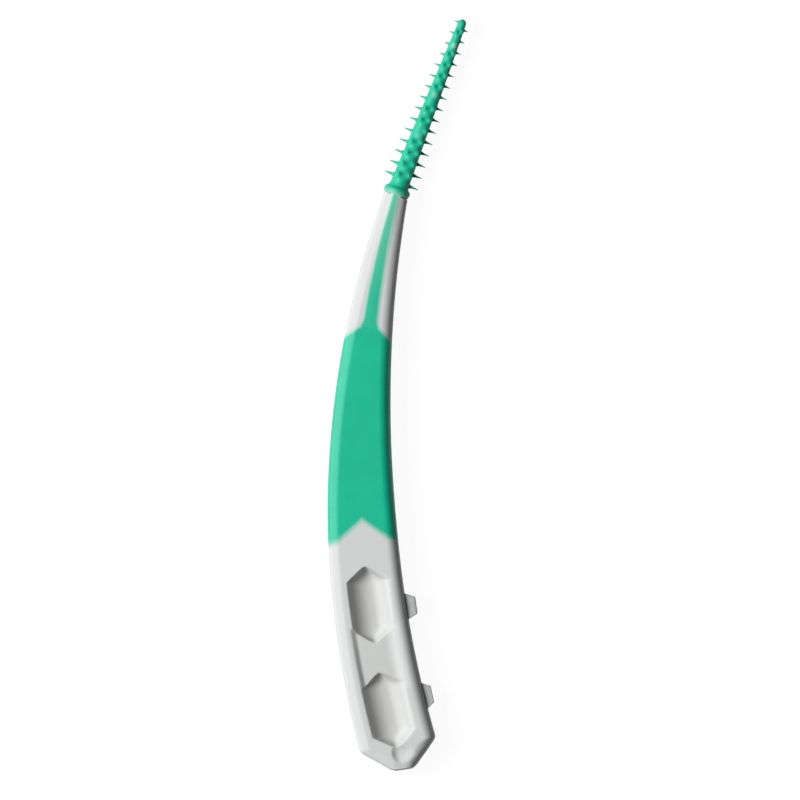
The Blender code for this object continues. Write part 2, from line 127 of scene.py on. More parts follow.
# Sprue stubs. A layer is a share of the half thickness, and how far its outline draws in.
TAB_PLACES = (-0.0145, -0.02395)
TAB_REACHES = (0.00098, 0.00078)
TAB_LENGTH = 0.0027
TAB_END_LENGTH = 0.00195
TAB_DEPTHS = (0.0015, 0.0011)
TAB_CORNER = 0.00022
TAB_CORNER_STEPS = 6
TAB_ROOT_SPREAD = 0.0002
TAB_ROOT_SINK = 0.0005
TAB_MIDDLE_SHARE = 0.3
TAB_LAYERS = ((-1, 0.12), (-0.93, 0.04), (-0.8, 0.0), (0.8, 0.0), (0.93, 0.04), (1, 0.12))
TAB_DRAW = (0.5, 1.0)

# Rubber grip, and the strip up the neck
GRIP_APEX = -0.00554
GRIP_TOP = 0.01437
CHEVRON_KNEE_ACROSS = 0.0026
CHEVRON_KNEE_DROP = 0.0021
CHEVRON_SIDE_DROP = 0.00245
CHEVRON_SHEAR = (-0.0098, 0.0)
SHOULDER_DROP = 0.0013
SHOULDER_SHEAR = (0.008, 0.0175)
GRIP_SIDE_WALL = 0.00075
GRIP_FACE_WALL = 0.0006
STRIP_ROOT_WIDTH = 0.0015
STRIP_END_WIDTH = 0.00072
STRIP_FLARE = 0.0004
STRIP_FLARE_LENGTH = 0.0011
STRIP_START = 0.0006
STRIP_SPREAD = 0.00018
STRIP_SINK = 0.0003
STRIP_CHANNEL_SHARE = 0.3
STRIP_EDGE_SINK = 0.00004
STRIP_CROWNS = (0.00003, 0.00007)
STRIP_LIFT = 0.000012
STRIP_FILM = 0.00005
BOND_GAP = 0.00003

# Rounded edges where white meets green, as shares of SEAM: distance from the edge, and drop
SEAM = 0.000018
SEAM_GAP = SEAM / 8
SEAM_SHARES = ((2.2, 0.0), (1.1, 0.1), (0.45, 0.4), (0.0, 1.0))
SEAM_REACH = SEAM * SEAM_SHARES[0][0]

# Rubber tip
TIP_ANGLE = math.radians(21.2)
SLEEVE_LENGTH = 0.01812
SLEEVE_ROOT_RADIUS = 0.00098
SLEEVE_TIP_RADIUS = 0.00042
SLEEVE_DOME = 0.0005
SLEEVE_ROOT_WALL = 0.00035
SLEEVE_TIP_WALL = 0.00018
NEEDLE_LENGTH = 0.0172
NEEDLE_SINK = 0.0005
COLLAR_TOP = 0.0005
COLLAR_HEIGHT = 0.00075
PAD_PLACES = tuple(SLEEVE_LENGTH * share for share in (0.309, 0.552, 0.844))
PAD_CLEAR = 0.0005
NECK_END = NECK_REACH - COLLAR_HEIGHT - BOND_GAP
KINK = math.tan(TIP_ANGLE - NECK_REACH / BEND_RADIUS)
KINK_START = 0.024

# Spikes. Their radii are shares of the root's, or of the end's, at shares of the height.
SPIKE_PITCH = 0.00118
SPIKE_FIRST_RIGHT = 0.00058
SPIKE_ROOT_REACH = 0.00197
SPIKE_TIP_REACH = 0.0008
SPIKE_ROOT_RADIUS = 0.0002
SPIKE_TOP_ROOT_RADIUS = 0.00013
SPIKE_SINK = 0.00012
SPIKE_SUNK_SHARE = 1.2
SPIKE_LEAST_SHARE = 0.2
SPIKE_TAPER = 0.7
SPIKE_TAPER_POWER = 1.15
SPIKE_FLARE = 0.3
SPIKE_FLARE_LENGTH = 0.3
SPIKE_TAPER_END = 0.96
SPIKE_END_RADIUS = 0.00004
SPIKE_END_SHARES = ((0.985, 0.85), (1.0, 0.35))
SHORT_ROW_SET_BACKS = (0.00022, 0.0004)
SHORT_ROW_ANGLES = (math.radians(42), math.radians(29))
SHORT_SPIKE_HEIGHT = 0.00056
SHORT_SPIKE_TOP_HEIGHT = 0.00038
SHORT_SPIKE_ROOT_RADIUS = 0.00007
SHORT_SPIKE_TOP_ROOT_RADIUS = 0.00005
SHORT_SPIKE_SINK = SPIKE_SINK * 0.4
MOUND_HEIGHT = 0.0003
MOUND_TOP_HEIGHT = 0.00017
MOUND_RADIUS = 0.00029
MOUND_TOP_RADIUS = 0.0002
MOUND_SKIN_SHARE = 0.98

# How far the shares that the materials read rise, and over what lengths
# Painted shade: the white is fully darkened at this depth in a hollow
HOLLOW_SHADE_FULL_DEPTH = POCKET_DEPTH * 0.5
GRIP_COVERS = (0.1, 1.0)
GRIP_FILM_REACH = 0.00052
CHEVRON_FILM_SHARE = 0.78
SHOULDER_FILM_SHARE = 0.92
STRIP_COVERS = (0.97, 0.8)
STRIP_FILM_REACH = STRIP_SPREAD + 0.00028
STRIP_FILM_SHIFT = 0.00005
STRIP_THIN_START = 0.016
STRIP_THIN_LENGTH = 0.012
TIP_COVERS = (0.62, 0.985)
TIP_FILM_REACH = 0.0006
PAD_COVERS = (0.35, 0.6, 0.9)
PAD_SHIFT = 0.00004
PAD_POWER = 3
PAD_RADIUS = 0.00025
PAD_CORE = PAD_RADIUS * 0.45
PAD_FADE = PAD_RADIUS * 1.15

# How finely the surfaces are drawn
FLANK_LANES = 16
FLANK_LANE_CREASE = 0.3
FACE_LANES = 80
STRIP_LANES = 30
BUTT_RINGS = 12
FINE_STEP = 0.00009
PLAIN_STEP = 0.00025
BORE_STEP = 0.0008
STRIP_STEP = 0.0002
TIP_STEP = 0.00008
TIP_SIDES = 96
SPIKE_SIDES = 14
SPIKE_RINGS = 12
COLLAR_STEPS = 5
DOME_STEPS = 14
CROWN_STEPS = 8
DOME_TURN = 88
TAPER_COUNT = 1500
FLANK_COUNT = 2000
POCKET_COUNT = 400
SHEAR_ROUNDS = 3
SLOPE_STEP = 1e-6
LEAST_SQUARE = 1e-9
WELD_REACH = 2e-7
FLAT_REACH = 1e-7
PLASTIC_SHARP = 32
RUBBER_SHARP = 40
STRIP_SHARP = 60


# ---- The handle's section

def mix(first, second, share):
    return first + (second - first) * share


def eased(share):
    """The share with a soft start and end, held between 0 and 1."""
    share = np.clip(share, 0.0, 1.0)
    return share * share * (3 - 2 * share)


def soft_most(values, softness):
    """The largest of several arrays, rounded where two are close."""
    stack = np.stack(np.broadcast_arrays(*values)) / softness
    top = stack.max(0)
    return softness * (top + np.log(np.exp(stack - top).sum(0)))


def soft_least(values, softness):
    return -soft_most([-np.asarray(value) for value in values], softness)


def hermite(start, end, leave, arrive, t):
    """The cubic from start to end with these slopes there, at a share of the way."""
    rise = end - start
    square = 3 * rise - 2 * leave - arrive
    cube = leave + arrive - 2 * rise
    return start + leave * t + square * t**2 + cube * t**3


def table_slope(index):
    before = TAPER_SHARES[max(index - 1, 0)]
    after = TAPER_SHARES[min(index + 1, len(TAPER_SHARES) - 1)]
    return (after[1] - before[1]) / (after[0] - before[0])


def taper(place):
    """The smooth curve through the taper's points."""
    last = len(TAPER_SHARES) - 1
    index = max(i for i in range(last) if i == 0 or TAPER_SHARES[i][0] <= place)
    (start, low), (end, high) = TAPER_SHARES[index], TAPER_SHARES[index + 1]
    span = end - start
    leave, arrive = table_slope(index) * span, table_slope(index + 1) * span
    return hermite(low, high, leave, arrive, (place - start) / span)


TAPER_PLACES = np.linspace(0, 1, TAPER_COUNT)
TAPER_CURVE = np.array([taper(place) for place in TAPER_PLACES])
FLANK_T = np.linspace(0, 1, FLANK_COUNT)


def half_width(along):
    place = (along + HANDLE_REACH) / (NECK_END + HANDLE_REACH)
    return mix(HANDLE_WIDTH, NECK_WIDTH, np.interp(place, TAPER_PLACES, TAPER_CURVE)) / 2


def half_depth(along):
    share = eased((along - DEPTH_TAPER_START) / (NECK_END - DEPTH_TAPER_START))
    return mix(HANDLE_DEPTH, NECK_DEPTH, share) / 2


def side_at(along, end_half):
    """The distance of one side from the centreline, with the butt's cut corner."""
    slope = (HANDLE_WIDTH / 2 - end_half) / (BUTT_CORNERS - BUTT_END)
    cut = end_half + (along - BUTT_END) * slope
    side = soft_least([half_width(along), cut], BUTT_CORNER_ROUND)
    near = np.clip(1 - (along - BUTT_END) / BUTT_END_ROUND, 0, 1)
    return side - BUTT_END_ROUND * (1 - np.sqrt(1 - near**2))


def inward(t, crease):
    """How far in a flank's curve has come, as a share of its width."""
    return 3 * (1 - crease) * (1 - t) * t**2 + t**3


def chamfer_up(inset, width, deep, flank):
    """A nearly flat chamfer that turns into the side over a short edge."""
    out = np.maximum(width - inset, 0)
    line = deep - flank["slope"] * out - flank["bow"] * out**2 / width
    near = np.clip(1 - inset / flank["edge"], 0, 1)
    return line * np.sqrt(1 - near**2)


def flank_up(inset, width, deep, flank):
    """Height of a flank with a sharp crease, at a distance in from the side."""
    if "slope" in flank:
        return chamfer_up(inset, width, deep, flank)
    t = np.interp(inset / width, inward(FLANK_T, flank["crease"]), FLANK_T)
    s = 1 - t
    side = 3 * deep * flank["side"] * s * s * t
    return side + 3 * (deep - width * flank["drop"]) * s * t * t + deep * t**3


def soft_up(inset, width, deep, flank):
    """The flank's curve with its crease rounded off."""
    width = width * flank["scale"]
    reach = np.minimum(flank["softness"], np.maximum(inset, 0) * CREASE_ROOM)
    total = sum(
        flank_up(np.maximum(inset + reach * offset, 0), width, deep, flank) * weight
        for offset, weight in CREASE_WEIGHTS
    )
    return total / sum(weight for _, weight in CREASE_WEIGHTS)


def skin_up(inset, across, width, deep, blend=FLANK_BLEND):
    """Height of the section above its middle plane, at a distance in from its side."""
    left = soft_up(inset, width, deep, LEFT_FLANK)
    right = soft_up(inset, width, deep, RIGHT_FLANK)
    return mix(left, right, eased(across / blend))


def pocket_profile(reach, most):
    """Share of a pocket's depth on the way out: a round floor, then a straight wall."""
    out = np.linspace(0, reach, POCKET_COUNT)
    slopes = out / np.sqrt(np.maximum(POCKET_FLOOR_RADIUS**2 - out**2, LEAST_SQUARE))
    slopes = np.where(out < POCKET_FLOOR_RADIUS, np.minimum(slopes, most), most)
    rises = np.concatenate([[0.0], np.cumsum((slopes[1:] + slopes[:-1]) / 2 * np.diff(out))])
    return 1 - rises / rises[-1]


POCKET_SHARES = np.linspace(0, 1, POCKET_COUNT)
LEFT_PROFILE = pocket_profile(POCKET_HALF_WIDTHS[0] + POCKET_BOTTOM, POCKET_WALL_SLOPES[0])
RIGHT_PROFILE = pocket_profile(POCKET_HALF_WIDTHS[0] - POCKET_BOTTOM, POCKET_WALL_SLOPES[1])


def pocket_drop(along, across, centre, shift, half):
    """Depth of a hexagonal scoop with a round floor; less than zero outside it."""
    across = across - shift
    keel = np.sqrt(across**2 + POCKET_KEEL**2) - POCKET_KEEL
    room = POCKET_HALF_LENGTH - POCKET_POINT * keel / half - np.abs(along - centre)
    out = across - POCKET_BOTTOM
    sides = np.where(out < 0, -out / (half + POCKET_BOTTOM), out / (half - POCKET_BOTTOM))
    ends = 1 - room / POCKET_END_SLOPE
    rim = eased(np.maximum(sides, ends) * POCKET_RIM_RISE - POCKET_RIM_START)
    share = soft_most([sides, ends, 0.0], mix(*POCKET_SOFTNESSES, rim))
    left = np.interp(share, POCKET_SHARES, LEFT_PROFILE)
    right = np.interp(share, POCKET_SHARES, RIGHT_PROFILE)
    inside = mix(left, right, eased(out / POCKET_BLEND + 0.5)) * POCKET_DEPTH
    return np.where(share < 1, inside, (1 - share) * half)


def trough_drop(along, across, softness):
    """Depth of the shallow trough between the pockets."""
    share = (POCKET_PLACES[0] - along) / (POCKET_PLACES[0] - POCKET_PLACES[1])
    depth = mix(*TROUGH_DEPTHS, np.clip(share, 0, 1))
    wall = (TROUGH_HALF_WIDTH - np.abs(across - TROUGH_SHIFT)) / TROUGH_WALL * depth
    room = np.minimum(TROUGH_ENDS[0] - along, along - TROUGH_ENDS[1])
    return soft_least([wall, depth, room / TROUGH_END_LENGTH * depth], softness)


def dimple_drop(along, across):
    """Depth of the round dimple at the butt."""
    out = across - DIMPLE_PLACE[1]
    side = out / np.where(out < 0, *DIMPLE_SIDES)
    return DIMPLE_DEPTH * (1 - side**2 - ((along - DIMPLE_PLACE[0]) / DIMPLE_RADIUS) ** 2)


def face_drop(along, across, front):
    """Depth of all hollows of a face; the right side's edges are rounder than the left's."""
    softness = mix(EDGE_SOFTNESS, RIGHT_EDGE_SOFTNESS, eased(across / EDGE_BLEND))
    pockets = zip(POCKET_PLACES, POCKET_SHIFTS, POCKET_HALF_WIDTHS)
    drops = [0.0] + [pocket_drop(along, across, *pocket) for pocket in pockets]
    drops.append(trough_drop(along, across, softness))
    drop = soft_most(drops, softness)
    if front:
        drop = soft_most([drop, dimple_drop(along, across)], EDGE_SOFTNESS)
    return drop


def chevron(across):
    """How far the grip's lower edge drops, at a distance from the centreline; less than zero."""
    places = (0, CHEVRON_KNEE_ACROSS, HANDLE_WIDTH / 2)
    return -np.interp(np.abs(across), places, (0, CHEVRON_KNEE_DROP, CHEVRON_SIDE_DROP))


def shoulder(across):
    """The same for the grip's upper edge."""
    root = STRIP_ROOT_WIDTH / 2
    slope = SHOULDER_DROP / (half_width(GRIP_TOP) - root)
    return -slope * np.maximum(np.abs(across) - root, 0)


def shear(base, across):
    """Bends the rings so that they follow the chevron and the shoulders."""
    low = np.interp(base, (CHEVRON_SHEAR[0], GRIP_APEX, CHEVRON_SHEAR[1]), (0, 1, 0))
    high = np.interp(base, (SHOULDER_SHEAR[0], GRIP_TOP, SHOULDER_SHEAR[1]), (0, 1, 0))
    return low * chevron(across) + high * shoulder(across)


def strip_half(along):
    """Half the strip's width, with its flare at the grip."""
    share = (along - GRIP_TOP) / (NECK_END - GRIP_TOP)
    flare = np.maximum(1 - (along - GRIP_TOP + STRIP_START) / STRIP_FLARE_LENGTH, 0)
    return mix(STRIP_ROOT_WIDTH, STRIP_END_WIDTH, share) / 2 + STRIP_FLARE * flare**2


def channel(along, across):
    """Depth of the channel under the strip, as a share of its deepest."""
    reach = np.abs(across) / (strip_half(along) + STRIP_SPREAD * STRIP_CHANNEL_SHARE)
    return np.maximum(1 - reach**2, 0)


def groove_drop(along, across):
    """The shallow channel that the strip fills."""
    inside = np.where(along > GRIP_TOP - STRIP_START, channel(along, across), 0)
    return inside * (STRIP_SINK + BOND_GAP)


def lanes():
    """The columns of half a section, right to left: side, share in from it, share of the face."""
    steps = np.arange(FLANK_LANES) / FLANK_LANES
    insets = inward(steps, FLANK_LANE_CREASE)
    flank, middle = np.ones(FLANK_LANES), np.zeros(FACE_LANES + 1)
    side = np.concatenate([flank, middle, -flank])
    inset = np.concatenate([insets, middle, insets[::-1]])
    share = np.concatenate([flank * 0, np.linspace(0, 1, FACE_LANES + 1), flank * 0])
    return side, inset, share


SIDE, INSET, SHARE = lanes()
ON_RIM = (SIDE != 0) & (INSET == 0)


def spots(along, across, up):
    """Points in the part's frame, from places on the bent centreline."""
    turn = along / BEND_RADIUS
    radius = BEND_RADIUS - across
    return np.stack([radius * np.sin(turn), radius * np.cos(turn) - BEND_RADIUS, up + MIDDLE], -1)


def columns(base, side_inset):
    """Where a ring's columns stand: along, across, distance in from the side, flank's width."""
    across = np.zeros_like(SIDE)
    for _ in range(SHEAR_ROUNDS):
        along = base + shear(base, across)
        right = side_at(along, BUTT_END_RIGHT) - side_inset
        left = side_at(along, BUTT_END_LEFT) - side_inset
        width = np.minimum(FLANK_WIDTH, np.minimum(right, left) * FLANK_MOST_SHARE)
        face = mix(right - width, width - left, SHARE)
        across = np.where(SIDE < 0, INSET * width - left, face)
        across = np.where(SIDE > 0, right - INSET * width, across)
    ahead = along + SLOPE_STEP
    turn_right = (side_at(ahead, BUTT_END_RIGHT) - right - side_inset) / SLOPE_STEP
    turn_left = (side_at(ahead, BUTT_END_LEFT) - left - side_inset) / SLOPE_STEP
    mitred = along < BUTT_MITRE_START
    in_right = (right - across) / np.sqrt(1 + np.where(mitred, turn_right, 0) ** 2)
    in_left = (across + left) / np.sqrt(1 + np.where(mitred, turn_left, 0) ** 2)
    inset = soft_least([in_right, in_left], MIDDLE_SOFTNESS)
    inset = np.where(np.abs(SIDE) > 0, np.minimum(in_right, in_left), inset)
    return along, across, np.maximum(inset, 0), width


def slant_at(base):
    """How much the butt's rings lean."""
    places = (BUTT_END, BUTT_CORNERS, BUTT_SLANT_START)
    return np.interp(base, places, (BUTT_END_SLANT, BUTT_SLANT, 0))


def neck_kink(base):
    """How much the neck's rings lean, so that they end square to the tip."""
    return -KINK * eased((base - KINK_START) / (NECK_END - KINK_START))


def ring(base, side_inset=0.0, face_inset=0.0, plain=False, kink=0.0):
    """One closed ring of the handle's surface; a plain one has no hollows."""
    along, across, inset, width = columns(base, side_inset)
    deep = half_depth(along) - face_inset
    end = base - BUTT_END
    if end < BUTT_END_REACH:
        inset = np.maximum(soft_least([inset, end], BUTT_END_SOFTNESS), 0) * (end > 0)
    blend = mix(BUTT_BLEND, FLANK_BLEND, eased(end / BUTT_BLEND_LENGTH))
    up = skin_up(inset, across, width, deep, blend)
    front, back = up, up
    if not plain:
        front = up - face_drop(along, across, True) - groove_drop(along, across)
        back = up - face_drop(along, across, False)
    along = along + (slant_at(base) + kink) * across
    top = spots(along, across, np.where(ON_RIM, 0, front))
    low = spots(along[1:-1], across[1:-1], -back[1:-1])
    return np.concatenate([top, low[::-1]])


# ---- Meshes

def new_object(name, data):
    made = bpy.data.objects.new(name, data)
    bpy.context.scene.collection.objects.link(made)
    return made


def tube(name, rings, closed=False, pinched=False):
    """A closed body from like rings; its ends are joined to each other, or capped.

    A pinched one starts with a flat line, which welds shut without a cap.
    """
    rings = [np.asarray(each) for each in rings]
    count, width = len(rings), len(rings[0])
    points = np.concatenate(rings)
    faces = []
    last = count if closed else count - 1
    for i in range(last):
        low, high = i * width, (i + 1) % count * width
        for j in range(width):
            k = (j + 1) % width
            faces.append((low + j, low + k, high + k, high + j))
    capped = () if closed else (count - 1,) if pinched else (0, count - 1)
    for index in capped:
        low, middle = index * width, len(points)
        points = np.concatenate([points, [rings[index].mean(0)]])
        faces += [(middle, low + j, low + (j + 1) % width) for j in range(width)]
    data = bpy.data.meshes.new(name)
    data.from_pydata([tuple(point) for point in points], [], faces)
    return new_object(name, cleaned(data))


def cleaned(data):
    """Welds points that meet, and turns all faces outward."""
    mesh = bmesh.new()
    mesh.from_mesh(data)
    bmesh.ops.remove_doubles(mesh, verts=mesh.verts, dist=WELD_REACH)
    bmesh.ops.dissolve_degenerate(mesh, edges=mesh.edges, dist=FLAT_REACH)
    bmesh.ops.recalc_face_normals(mesh, faces=mesh.faces)
    mesh.to_mesh(data)
    mesh.free()
    return data


def smooth(made, degrees):
    """Smooth shading, but for edges that turn by more degrees."""
    made.data.shade_smooth()
    made.data.set_sharp_from_angle(angle=math.radians(degrees))
    return made


def joined(name, pieces):
    """Several meshes as one object."""
    mesh = bmesh.new()
    for piece in pieces:
        mesh.from_mesh(piece.data)
        bpy.data.objects.remove(piece, do_unlink=True)
    data = bpy.data.meshes.new(name)
    mesh.to_mesh(data)
    mesh.free()
    return new_object(name, data)


def spread(start, end, step):
    """Even places from start to end, about a step apart."""
    count = max(round((end - start) / step), 1)
    return [mix(start, end, i / count) for i in range(count + 1)]


def seam_rings(edge, hand, shares, plain=False):
    """The rounded edge of a piece that lies on one side of a seam: up is 1, down is -1."""
    return [ring(edge + hand * SEAM * far, SEAM * low, SEAM * low, plain) for far, low in shares]


def handle_rings():
    """The white core's handle, waist and neck, from the butt to inside the collar."""
    steps = np.arange(BUTT_RINGS + 1) / BUTT_RINGS
    ends = BUTT_END + FLANK_WIDTH * inward(steps, BUTT_CREASE)
    rings = [ring(base) for base in ends]
    handle_part = spread(ends[-1], GRIP_APEX - SEAM_REACH, FINE_STEP)
    rings += [ring(base) for base in handle_part[1:-1]]
    rings += seam_rings(GRIP_APEX, -1, SEAM_SHARES)
    waist = spread(GRIP_APEX, GRIP_TOP, BORE_STEP)
    rings += [ring(base, GRIP_SIDE_WALL, GRIP_FACE_WALL, plain=True) for base in waist]
    rings += seam_rings(GRIP_TOP, 1, SEAM_SHARES[::-1])
    neck = spread(GRIP_TOP + SEAM_REACH, NECK_END, PLAIN_STEP)
    rings += [ring(base, kink=neck_kink(base)) for base in neck[1:]]
    return rings


def grip_rings():
    """The rubber grip: its outer skin between two rounded edges, and its bore."""
    low, high = GRIP_APEX + SEAM_GAP, GRIP_TOP - SEAM_GAP
    rings = seam_rings(low, 1, SEAM_SHARES[::-1], plain=True)
    skin = spread(low + SEAM_REACH, high - SEAM_REACH, PLAIN_STEP)
    rings += [ring(base, plain=True) for base in skin[1:-1]]
    rings += seam_rings(high, -1, SEAM_SHARES, plain=True)
    walls = (GRIP_SIDE_WALL - BOND_GAP, GRIP_FACE_WALL - BOND_GAP)
    bore = spread(low, high, BORE_STEP)
    rings += [ring(base, *walls, plain=True) for base in reversed(bore)]
    return rings


def strip_rings():
    """The strip up the neck: thick in its middle, and a thin film towards its edges."""
    shares = np.linspace(1, -1, STRIP_LANES + 1)
    rings = []
    for base in spread(GRIP_TOP - STRIP_START, NECK_REACH - COLLAR_HEIGHT / 2, STRIP_STEP):
        across = shares * (strip_half(base) + STRIP_SPREAD)
        wide, deep = half_width(base), half_depth(base)
        width = min(FLANK_WIDTH, wide * FLANK_MOST_SHARE)
        skin = skin_up(wide - np.abs(across), across, width, deep)
        start = eased((base - GRIP_TOP + STRIP_START) / STRIP_START)
        crown = mix(*STRIP_CROWNS, start) * (1 - shares**2) ** 0.5
        top = skin - STRIP_EDGE_SINK + crown + STRIP_LIFT * start
        low = skin - channel(base, across) * STRIP_SINK - STRIP_FILM
        along = base + neck_kink(base) * across
        rings.append(np.concatenate([spots(along, across, top), spots(along, across, low)[::-1]]))
    return rings


def tab(place, reach):
    """A sprue stub on the right side, with rounded corners and edges."""
    root = half_width(place)
    side, tip = TAB_LENGTH / 2, TAB_END_LENGTH / 2
    outline = [(side + TAB_ROOT_SPREAD, -TAB_ROOT_SINK), (side, 0.0)]
    for hand, first, last in ((1, 0, 1), (-1, 1, 0)):
        for t in np.linspace(first, last, TAB_CORNER_STEPS + 1):
            a = t * math.pi / 2
            x = tip - TAB_CORNER + TAB_CORNER * math.cos(a)
            outline.append((hand * x, reach - TAB_CORNER + TAB_CORNER * math.sin(a)))
    outline += [(-side, 0.0), (-side - TAB_ROOT_SPREAD, -TAB_ROOT_SINK)]
    outline = np.array(outline)
    middle = np.array([0.0, reach * TAB_MIDDLE_SHARE])
    rings = []
    for up, draw in TAB_LAYERS:
        shape = outline + (middle - outline) * draw * np.array(TAB_DRAW)
        depth = mix(*TAB_DEPTHS, np.clip(shape[:, 1] / reach, 0, 1))
        rings.append(spots(place + shape[:, 0], root + shape[:, 1], up * depth / 2))
    return tube("tab", rings)


def on_tip():
    """Local Z is on the tip's axis, 0 under the collar's top; -X is the front, -Y the right."""
    foot = spots(NECK_REACH, 0.0, 0.0)
    turn = Matrix.Rotation(-TIP_ANGLE, 4, "Z") @ Matrix.Rotation(math.pi / 2, 4, "Y")
    return Matrix.Translation(Vector(foot)) @ turn


def sleeve_radius(place):
    share = min(place / (SLEEVE_LENGTH - SLEEVE_DOME), 1.0)
    return mix(SLEEVE_ROOT_RADIUS, SLEEVE_TIP_RADIUS, share)


def bore_radius(place):
    wall = mix(SLEEVE_ROOT_WALL, SLEEVE_TIP_WALL, place / NEEDLE_LENGTH)
    return sleeve_radius(place) - wall


def arc(height, wide, high, start, end, steps):
    """Points of an ellipse about the axis, as (radius, height), between two turns in degrees."""
    turns = [math.radians(mix(start, end, i / steps)) for i in range(steps + 1)]
    return [(wide * math.cos(a), height + high * math.sin(a)) for a in turns]


def turned(name, profile, swell=None):
    """A closed body turned about the tip's axis, from its end to its foot.

    Its sides count from the front, and swell gives what each adds to the radius.
    """
    sides = math.tau * np.arange(TIP_SIDES) / TIP_SIDES
    rings = []
    for radius, height in profile:
        wide = radius + (swell(radius, height, sides) if swell else 0)
        level = np.full(TIP_SIDES, height)
        rings.append(np.stack([-wide * np.cos(sides), -wide * np.sin(sides), level], -1))
    made = tube(name, rings)
    made.data.transform(on_tip())
    return made


# The collar's outline, as (radius, height): it flares out of the sleeve and tapers to the neck
COLLAR_POINTS = (
    (sleeve_radius(COLLAR_TOP), COLLAR_TOP),
    (0.000985, 0.00034),
    (0.00103, 0.00020),
    (0.00112, 0.00008),
    (0.00124, -0.00002),
    (0.00132, -0.00012),
    (0.00134, -0.00024),
    (0.00132, -0.00040),
    (0.00128, -0.00058),
    (0.00123, -0.00071),
    (0.00114, -0.00075),
)


def collar_curve():
    """A smooth curve through the collar's points."""
    points = np.array(COLLAR_POINTS)
    slopes = np.gradient(points, axis=0)
    curve = []
    for i in range(len(points) - 1):
        for t in np.linspace(0, 1, COLLAR_STEPS + 1)[:-1]:
            curve.append(hermite(points[i], points[i + 1], slopes[i], slopes[i + 1], t))
    return [tuple(point) for point in curve + [points[-1]]]


def tip_profile():
    """The rubber tip's section: dome, sleeve and collar, then up its bore."""
    top = SLEEVE_LENGTH - SLEEVE_DOME
    profile = arc(top, SLEEVE_TIP_RADIUS, SLEEVE_DOME, DOME_TURN, 0, DOME_STEPS)
    steps = spread(COLLAR_TOP, top, TIP_STEP)[1:-1]
    profile += [(sleeve_radius(place), place) for place in reversed(steps)]
    profile += collar_curve()
    profile.append((bore_radius(-COLLAR_HEIGHT), -COLLAR_HEIGHT))
    crown = bore_radius(NEEDLE_LENGTH)
    profile += arc(NEEDLE_LENGTH + BOND_GAP - crown, crown, crown, 0, DOME_TURN, CROWN_STEPS)
    return profile


def needle():
    """The white core's needle in the tip's bore."""
    top = bore_radius(NEEDLE_LENGTH) - BOND_GAP
    root = bore_radius(-COLLAR_HEIGHT) - BOND_GAP
    profile = arc(NEEDLE_LENGTH - top, top, top, DOME_TURN, 0, CROWN_STEPS)
    profile.append((root, -COLLAR_HEIGHT - NEEDLE_SINK))
    return turned("needle", profile)


def spike_share(t):
    """A spike's radius as a share of its root's, at a share of its height."""
    body = SPIKE_LEAST_SHARE + SPIKE_TAPER * (1 - t) ** SPIKE_TAPER_POWER
    return body + SPIKE_FLARE * max(0, 1 - t / SPIKE_FLARE_LENGTH) ** 2


def spike(foot, turn, sink, height, root_radius):
    """One spike, from a foot inside the sleeve. Turn goes from the front to the right."""
    aim = Matrix.Rotation(turn, 4, "Z") @ Matrix.Rotation(-math.pi / 2, 4, "Y")
    shape = [(0.0, root_radius * SPIKE_SUNK_SHARE)]
    for t in np.linspace(0, SPIKE_TAPER_END, SPIKE_RINGS):
        shape.append((sink + height * t, root_radius * spike_share(t)))
    shape += [(sink + height * t, SPIKE_END_RADIUS * share) for t, share in SPIKE_END_SHARES]
    turns = [math.tau * i / SPIKE_SIDES for i in range(SPIKE_SIDES)]
    rings = [[(r * math.cos(a), r * math.sin(a), z) for a in turns] for z, r in shape]
    made = tube("spike", rings)
    made.data.transform(on_tip() @ Matrix.Translation(foot) @ aim)
    return made


def places_up(first, end):
    """Places up the sleeve, one pitch apart."""
    return [first + i * SPIKE_PITCH for i in range(math.floor((end - first) / SPIKE_PITCH) + 1)]


def side_row(hand, first):
    """A long row in the parting plane. Hand is 1 on the right and -1 on the left."""
    made = []
    for place in places_up(first, SLEEVE_LENGTH - SPIKE_TOP_ROOT_RADIUS):
        share = place / SLEEVE_LENGTH
        height = mix(SPIKE_ROOT_REACH, SPIKE_TIP_REACH, share) - sleeve_radius(place)
        foot = (0, hand * (SPIKE_SINK - sleeve_radius(place)), place)
        radius = mix(SPIKE_ROOT_RADIUS, SPIKE_TOP_ROOT_RADIUS, share)
        made.append(spike(foot, hand * math.pi / 2, SPIKE_SINK, height, radius))
    return made


def short_feet():
    """Where the short spikes stand: the side of the middle, the face, the angle and the place."""
    feet = []
    for hand, set_back, angle in zip((1, -1), SHORT_ROW_SET_BACKS, SHORT_ROW_ANGLES):
        first = SPIKE_FIRST_RIGHT + SPIKE_PITCH - set_back
        for place in places_up(first, SLEEVE_LENGTH - SLEEVE_DOME):
            feet.append((hand, False, angle, place))
            if all(abs(place - pad) > PAD_CLEAR for pad in PAD_PLACES):
                feet.append((hand, True, angle, place))
    return feet


SHORT_FEET = short_feet()


def mounds(radius, height, turns):
    """The low mounds at the roots of the short spikes, on the sleeve's skin."""
    swell = np.zeros(len(turns))
    if height < COLLAR_TOP or radius < sleeve_radius(height) * MOUND_SKIN_SHARE:
        return swell
    share = height / SLEEVE_LENGTH
    wide = mix(MOUND_RADIUS, MOUND_TOP_RADIUS, share)
    for hand, front, angle, place in SHORT_FEET:
        middle = hand * (angle if front else math.pi - angle)
        off = (turns - middle + math.pi) % math.tau - math.pi
        far = ((off * radius) ** 2 + (height - place) ** 2) / wide**2
        swell = np.maximum(swell, mix(MOUND_HEIGHT, MOUND_TOP_HEIGHT, share) * np.exp(-far))
    return swell


